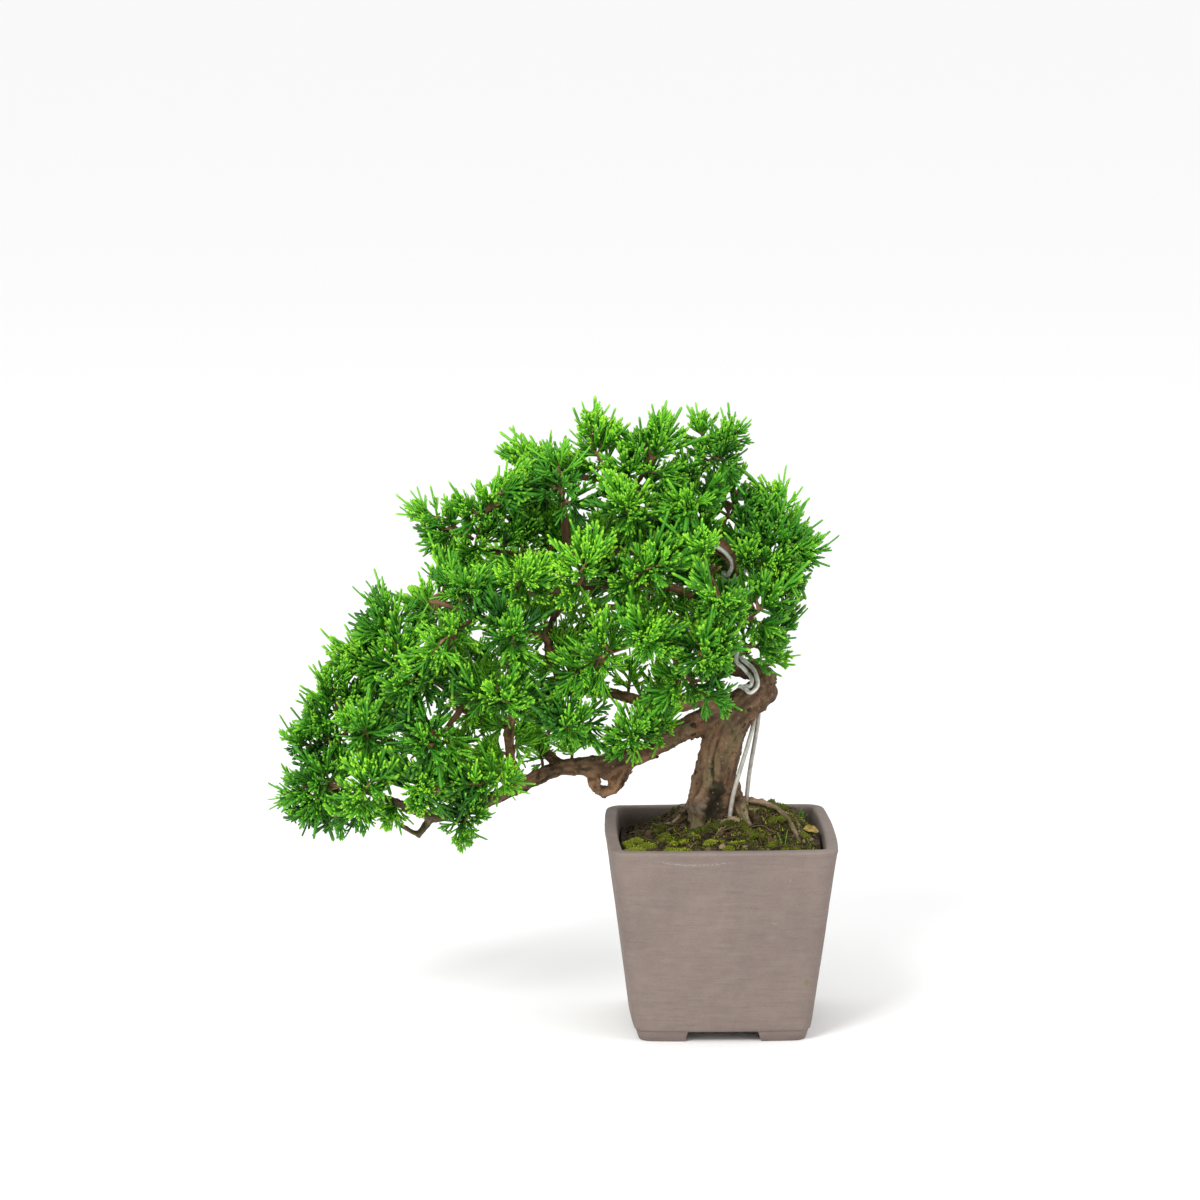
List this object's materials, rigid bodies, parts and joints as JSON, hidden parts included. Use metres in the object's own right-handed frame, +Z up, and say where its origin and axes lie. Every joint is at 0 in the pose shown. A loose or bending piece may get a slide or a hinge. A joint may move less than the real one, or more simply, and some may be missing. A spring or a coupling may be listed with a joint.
{
  "type": "potted juniper bonsai",
  "caption": "Small juniper bonsai with a folded trunk, a long drooping lower limb, dense scaly foliage and training wires, in a tapered square clay pot on feet.",
  "frame": {"origin": "middle of the whole footprint, tree and pot, at the height of the surface that the pot's feet stand on", "axes": "+X to the viewer's right, with the long limb reaching towards -X; +Y away from the viewer; +Z up"},
  "size_m": [0.2582, 0.1348, 0.2879],
  "materials": {
    "clay": "unglazed grey-brown stoneware, matt, finely speckled",
    "screen": "black plastic mesh",
    "soil": "dark crumbly potting mix with patches of bright green moss",
    "bark": "rough reddish-brown bark in lengthwise strips",
    "wire": "dull silver-grey, slightly weathered",
    "foliage": "scale leaves, mid green inside and yellow-green at the tips, slightly waxy"
  },
  "bodies": {
    "root": {"pot": "clay", "drain_screen": "screen", "soil": "soil", "juniper_wood": "bark", "wire_1": "wire", "wire_2": "wire", "spray_01": "foliage", "spray_02": "foliage", "spray_03": "foliage", "spray_04": "foliage", "spray_05": "foliage", "spray_06": "foliage", "spray_07": "foliage", "spray_08": "foliage", "spray_09": "foliage", "spray_10": "foliage", "spray_11": "foliage", "spray_12": "foliage", "spray_13": "foliage", "spray_14": "foliage", "spray_15": "foliage", "spray_16": "foliage", "spray_17": "foliage", "spray_18": "foliage", "spray_19": "foliage", "spray_20": "foliage", "spray_21": "foliage", "spray_22": "foliage", "spray_23": "foliage", "spray_24": "foliage", "spray_25": "foliage", "spray_26": "foliage", "spray_27": "foliage", "spray_28": "foliage", "spray_29": "foliage", "spray_30": "foliage", "spray_31": "foliage", "spray_32": "foliage", "spray_33": "foliage", "spray_34": "foliage", "spray_35": "foliage", "spray_36": "foliage", "spray_37": "foliage", "spray_38": "foliage", "spray_39": "foliage", "spray_40": "foliage", "spray_41": "foliage", "spray_42": "foliage", "spray_43": "foliage", "spray_44": "foliage", "spray_45": "foliage", "spray_46": "foliage", "spray_47": "foliage", "spray_48": "foliage", "spray_49": "foliage", "spray_50": "foliage", "spray_51": "foliage", "spray_52": "foliage", "spray_53": "foliage", "spray_54": "foliage"}
  },
  "joints": []
}
